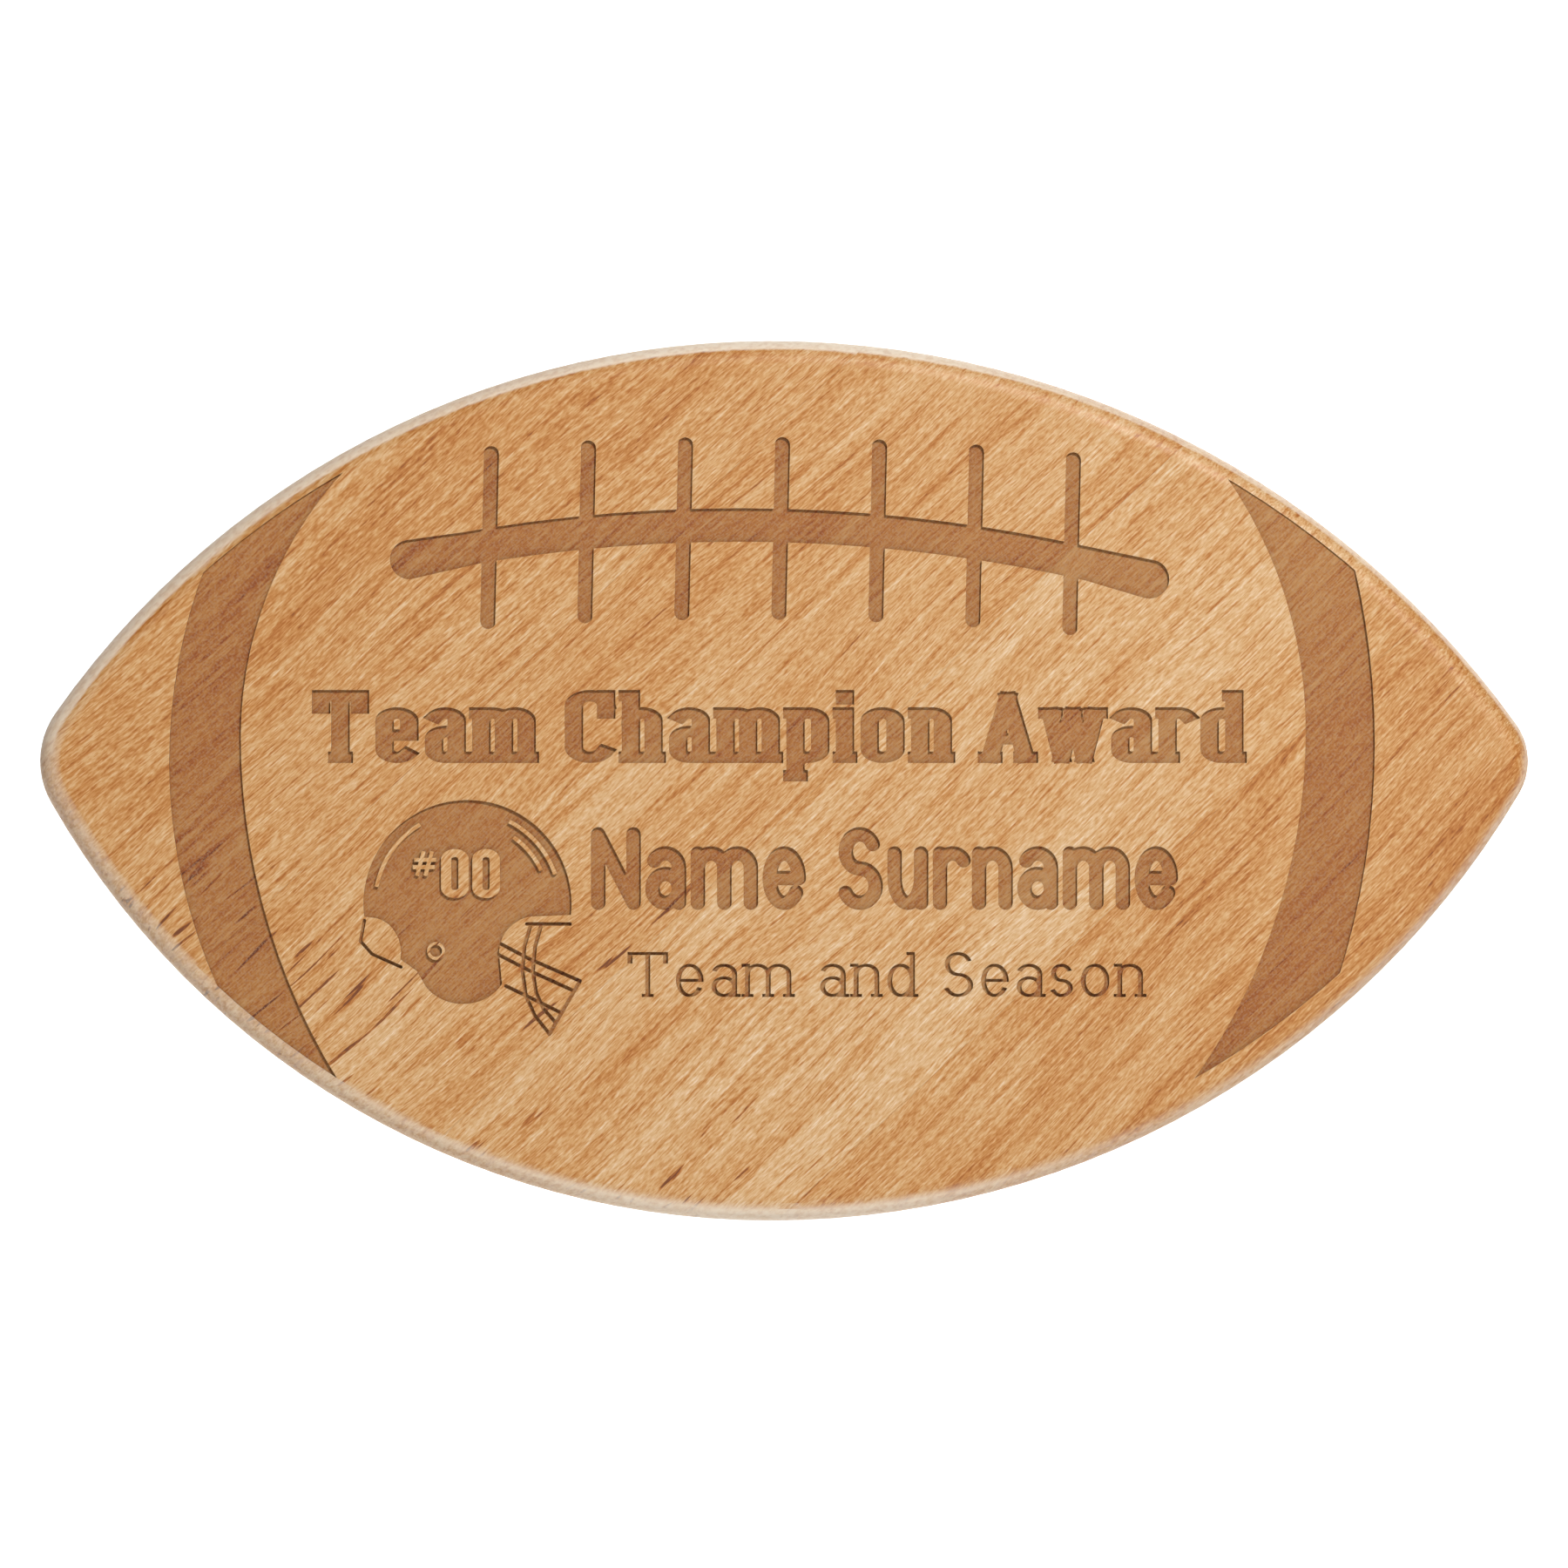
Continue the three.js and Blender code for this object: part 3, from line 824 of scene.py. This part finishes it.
# %% The grain
PER_MM = 1000.0
GRAIN_LAYERS = {  # mm along the grain, across it and into the board, detail of the noise, weight
    "broad": (170, 26, 20, 1.0, 0.3),
    "band": (140, 8, 10, 2.0, 0.26),
    "streak": (60, 2.6, 6, 2.0, 0.22),
    "thread": (26, 1.1, 3, 2.0, 0.26),
    "fibre": (9, 0.45, 1.2, 2.0, 0.45),
    "pores": (1.5, 0.3, 0.4, 2.0, 0.85),
}
FIGURE_LAYERS = ("broad", "band", "streak")
LINES_OF_GRAIN = {"line": (30, 0.8, 3, 1.0), "scratch": (11, 0.38, 1, 1.0)}
LINE_TONES = [  # which lines, where their noise begins and is full, what they add to the tone
    ("line", (0.58, 0.68), -0.16),
    ("scratch", (0.62, 0.72), -0.14),
    ("line", (0.4, 0.3), 0.1),
    ("scratch", (0.36, 0.26), 0.14),
]


def stretched(shader, place, along, across, into, detail=2.0):
    """A noise whose patches are this long, wide and deep, in millimetres of the grain's directions."""
    patch = (1 / along, 1 / into, 1 / across)
    where = shader.node("ShaderNodeVectorMath", {"operation": "MULTIPLY"}, place, patch)
    settings = {"noise_dimensions": "3D"}
    return shader.node("ShaderNodeTexNoise", settings, Vector=where, Scale=1.0, Detail=detail)


def grain(shader, place, tone, figure):
    """The tone with every layer of the grain added, and the layers by name."""
    layers = {name: stretched(shader, place, *size) - 0.5 for name, (*size, _) in GRAIN_LAYERS.items()}
    lines = {name: stretched(shader, place, *size) for name, size in LINES_OF_GRAIN.items()}
    value = tone
    for name, (*_, weight) in GRAIN_LAYERS.items():
        value = value + layers[name] * (weight * figure if name in FIGURE_LAYERS else weight)
    for name, reach, amount in LINE_TONES:
        value = value + lines[name].step(*reach) * amount
    return value, layers


print("the grain is", len(GRAIN_LAYERS) + len(LINE_TONES), "layers")

# %% [markdown]
# Alder's broad rays show on its face as short dark flecks. Here they come in loose groups, which are strong
# at the lower left of the face and faint elsewhere.

# %% Flecks
FLECK_SIZE = (12, 0.9, 2, 0.0)
GROUP_SIZE = (60, 26, 20, 0.0)
LOWER_LEFT_X = (30 * MM, -30 * MM)
LOWER_LEFT_Z = (TIP_LINE_Z - 5 * MM, TIP_LINE_Z - 40 * MM)
FAINT_FLECK = 0.08
STRONGER_LOWER_LEFT = 0.47


def flecks(shader, coordinates, turned, place):
    """How much darker a fleck makes a point."""
    x, z = (shader.part_of(coordinates, axis) for axis in "XZ")
    lower_left = x.step(*LOWER_LEFT_X) * z.step(*LOWER_LEFT_Z)
    fleck = stretched(shader, place, *FLECK_SIZE).step(0.7, 0.76)
    group = stretched(shader, turned, *GROUP_SIZE).step(0.46, 0.58)
    return fleck * group * (FAINT_FLECK + lower_left * STRONGER_LOWER_LEFT)


print(f"flecks are {FLECK_SIZE[0]} mm long and {FLECK_SIZE[1]} mm wide")

# %% [markdown]
# Two masks come from the cuts. A floor lies just below the face and looks straight out, and is darker. A
# wall stands between the face and a floor, and is painted dark brown: partly the colour a tool leaves, partly
# painted shade that deepens the shadow lines inside the cuts.

# %% Masks of the cuts
CUTS_END = (1.0, 1.3)
FLOORS_BEGIN = (0.5, 0.7)
LOOKS_OUT = (0.97, 0.995)
STANDS_UP = (0.3, 0.05)


def cut_masks(depth, facing):
    """How much a point belongs to an engraved floor, and to the wall of a cut. Depths are in mm."""
    near_face = 1 - depth.step(*CUTS_END)
    floor = depth.step(*FLOORS_BEGIN) * near_face * facing.step(*LOOKS_OUT)
    return floor, near_face * facing.step(*STANDS_UP)


print(f"floors are {ENGRAVE_DEPTH / MM:.1f} mm deep, and masked from {FLOORS_BEGIN[0]} to {CUTS_END[1]} mm")

# %% [markdown]
# The round-over leans away from the face, and is painted paler: partly wood that sanding has opened, partly
# painted light. It pales in a wide soft band along the bottom, where painted light lifts the shade that the
# lamps leave there, and in a narrow one along the top, which is a painted highlight; it is weaker at the
# upper right, where the key lamp already lights it. How far the surface has turned tells where on the
# round-over a point is, because the turn is the same all along the edge. The band is strongest where the edge
# runs level, and a mottled noise breaks it up.

# %% The sanded edge, with painted light
BAND_ABOVE = (0.82, 0.72)
BAND_BELOW = (1.0, 0.8)
WORN_AND_LIT_ABOVE = {"everywhere": 0.58, "straight": 0.17, "right": -0.2}
WORN_AND_LIT_BELOW = {"everywhere": 0.24, "straight": 0.42, "right": -0.04}
WORN_AND_LIT_MOTTLE = 0.25
NARROWER_TO_THE_RIGHT = 0.3
RAGGED = 0.12
SIDE_FADES = (4.5, 9)
SIDE_FADE = 0.6


def worn_and_painted_light_edge(depth, rightward, facing, upward, mottle):
    """How much sanding and painted light pale a point of the round-over and the side."""
    flat = facing.math("ABSOLUTE")
    above = upward.step(-0.05, 0.25)

    def worn_and_lit(where):
        return WORN_AND_LIT_BELOW[where] + above * (WORN_AND_LIT_ABOVE[where] - WORN_AND_LIT_BELOW[where])

    level = flat + rightward * NARROWER_TO_THE_RIGHT + (mottle - 0.5) * RAGGED
    band = above * level.step(*BAND_ABOVE) + (1 - above) * level.step(*BAND_BELOW)
    straight = rightward.math("ABSOLUTE").step(0.3, 0.05)
    right = rightward.step(0.1, 0.5)
    strength = worn_and_lit("everywhere") + straight * worn_and_lit("straight")
    strength = strength + mottle.step(0.34, 0.62) * WORN_AND_LIT_MOTTLE + right * worn_and_lit("right")
    side = (1 - depth.step(*SIDE_FADES) * SIDE_FADE) * flat.step(1.0, 0.985)
    return band * strength * side


# The pale band is partly sanded wood and partly painted light.
print("worn edge, below and above:", WORN_AND_LIT_BELOW["everywhere"], WORN_AND_LIT_ABOVE["everywhere"])

# %% [markdown]
# One function then makes the alder of one stave. The grain is turned to the stave's own angle and moved to
# its own place in the noise, and a slow drift makes its lines sway by a few millimetres.

# %% One stave's alder
SEED_STEP = (137.0, 31.0, 211.0)
DRIFT_SIZE = (80, 30, 30, 1.0)
SWAY = 8.0
MOTTLE_SIZE = (1.8, 1.1, 1.1, 4.0)
ASH_SIZE = (0.5, 0.5, 0.5)


def alder(name, tone, figure, seed, grain_angle):
    material, shader, surface = new_material(name)
    coordinates = shader.coordinates()
    turned = shader.node(
        "ShaderNodeMapping",
        None,
        coordinates,
        Rotation=(0, math.radians(grain_angle), 0),
        Scale=(PER_MM, PER_MM, PER_MM),
        Location=tuple(step * seed for step in SEED_STEP),
    )
    drift = stretched(shader, turned, *DRIFT_SIZE) - 0.5
    sway = shader.node("ShaderNodeCombineXYZ", None, 0.0, 0.0, drift * SWAY)
    place = shader.node("ShaderNodeVectorMath", {"operation": "ADD"}, turned, sway)
    value, layers = grain(shader, place, tone, figure)
    value = value - flecks(shader, coordinates, turned, place)
    colour = shader.node("ShaderNodeValToRGB", {"stops": ALDER_RAMP}, value)

    depth = (shader.part_of(coordinates, "Y") - FACE_Y) * PER_MM
    normal = shader.coordinates("Normal")
    rightward, outward, upward = (shader.part_of(normal, axis) for axis in "XYZ")
    facing = outward * -1
    mottle = stretched(shader, turned, *MOTTLE_SIZE)
    floor, wall = cut_masks(depth, facing)
    edge = worn_and_painted_light_edge(depth, rightward, facing, upward, mottle) * (1 - floor) * (1 - wall)
    ash = stretched(shader, turned, *ASH_SIZE).step(0.48, 0.6)
    sunk = shader.mix(1.0, colour, ENGRAVED_TINT, blend="MULTIPLY")
    sunk = shader.mix(ash * 0.35, sunk, ASH)
    colour = shader.mix(floor, colour, sunk)
    # The walls of the cuts get a dark brown that is partly the tool's mark and partly painted shade.
    colour = shader.mix(wall * 0.95, colour, CUT_WALL_CHAR_AND_SHADE)
    # The pale edge is partly sanded wood, partly painted light: a highlight along the top, lifted shade along
    # the bottom.
    colour = shader.mix(edge, colour, PALE_EDGE)

    roughness = 0.5 + layers["fibre"] * 0.3 + floor * 0.15
    relief = layers["fibre"] * 0.6 + layers["pores"] * (0.35 + floor * 0.9)
    bump = shader.node("ShaderNodeBump", None, Height=relief, Strength=0.4, Distance=0.06 * MM)
    feed(shader, surface, Base_Color=colour, Roughness=roughness, Normal=bump)
    return material


def dress(piece, material):
    piece.data.materials.clear()
    piece.data.materials.append(material)
    print(f"{piece.name}: {material.name}, {len(material.node_tree.nodes)} nodes")


ALDER_STAVES = {  # tone, strength of the figure, place in the noise, angle of the grain in degrees
    "stave_upper_left": (0.5, 1.0, 1, 41.5),
    "stave_upper_middle": (0.55, 1.0, 2, 42.5),
    "stave_lower_middle": (0.58, 1.2, 3, 43.5),
    "stave_lower_right": (0.52, 1.3, 4, 45.5),
}
for node, board in zip(STAVES, boards):
    dress(board, alder("alder_" + node.removeprefix("stave_"), *ALDER_STAVES[node]))

# %% [markdown]
# ## The keyhole plate and its screws
#
# The plate is pressed from thin steel, so its edges are slightly rounded, and so are those of the screws.
# A Bevel modifier on the merged CAD copies gives them that. Both are zinc plated: a metal whose
# roughness changes in soft patches, with fine rolling marks on the plate.


# %% Zinc
BEVELLED_EDGE = math.radians(40)
SMOOTH_EDGE = math.radians(35)


def rounded_copy(node, width, segments=2):
    piece = copy_of(node, node + "_finished")
    bevel = piece.modifiers.new("round", "BEVEL")
    bevel.width = width
    bevel.segments = segments
    bevel.limit_method = "ANGLE"
    bevel.angle_limit = BEVELLED_EDGE
    activate(piece)
    bpy.ops.object.modifier_apply(modifier="round")
    bpy.ops.object.shade_smooth_by_angle(angle=SMOOTH_EDGE)
    return piece


def in_millimetres(shader):
    return shader.node("ShaderNodeMapping", None, shader.coordinates(), Scale=(PER_MM, PER_MM, PER_MM))


def zinc(name, light, dark, roll_mark_length):
    material, shader, surface = new_material(name)
    place = in_millimetres(shader)
    cloud = stretched(shader, place, 5, 5, 5, 3.0)
    roll = stretched(shader, place, 0.12, roll_mark_length, 0.3)
    colour = shader.mix(cloud.step(0.35, 0.7), light, dark)
    relief = roll * 0.5 + cloud * 0.5
    bump = shader.node("ShaderNodeBump", None, Height=relief, Strength=0.3, Distance=0.02 * MM)
    feed(shader, surface, Base_Color=colour, Metallic=1.0, Roughness=0.26 + cloud * 0.22, Normal=bump)
    return material


plate = rounded_copy("keyhole_plate", 0.18 * MM)
dress(plate, zinc("plate_zinc", srgb(206, 208, 212), srgb(172, 175, 181), 9))
screw_zinc = zinc("screw_zinc", srgb(202, 203, 206), srgb(160, 162, 168), 0.5)
for node in ("plate_screw_lower", "plate_screw_upper"):
    dress(rounded_copy(node, 0.05 * MM, 1), screw_zinc)

# %% [markdown]
# ## The bumpers
#
# Each bumper is a soft moulded dome with a flat face. Its copy is only rounded a little more. Rubber is
# dark and dull, with a fine moulded texture and dust that greys it in patches.


# %% Rubber
def rubber(name):
    material, shader, surface = new_material(name)
    place = in_millimetres(shader)
    texture = stretched(shader, place, 0.25, 0.25, 0.25)
    dust = stretched(shader, place, 3, 3, 3, 3.0)
    colour = shader.mix(dust.step(0.4, 0.75), srgb(38, 36, 34), srgb(64, 61, 58))
    bump = shader.node("ShaderNodeBump", None, Height=texture, Strength=0.35, Distance=0.04 * MM)
    feed(shader, surface, Base_Color=colour, Roughness=0.62 + dust * 0.3, Normal=bump)
    return material


bumper_rubber = rubber("bumper_rubber")
for node in sorted(name for name in frame["nodes"] if name.startswith("bumper_")):
    dress(rounded_copy(node, 0.12 * MM), bumper_rubber)
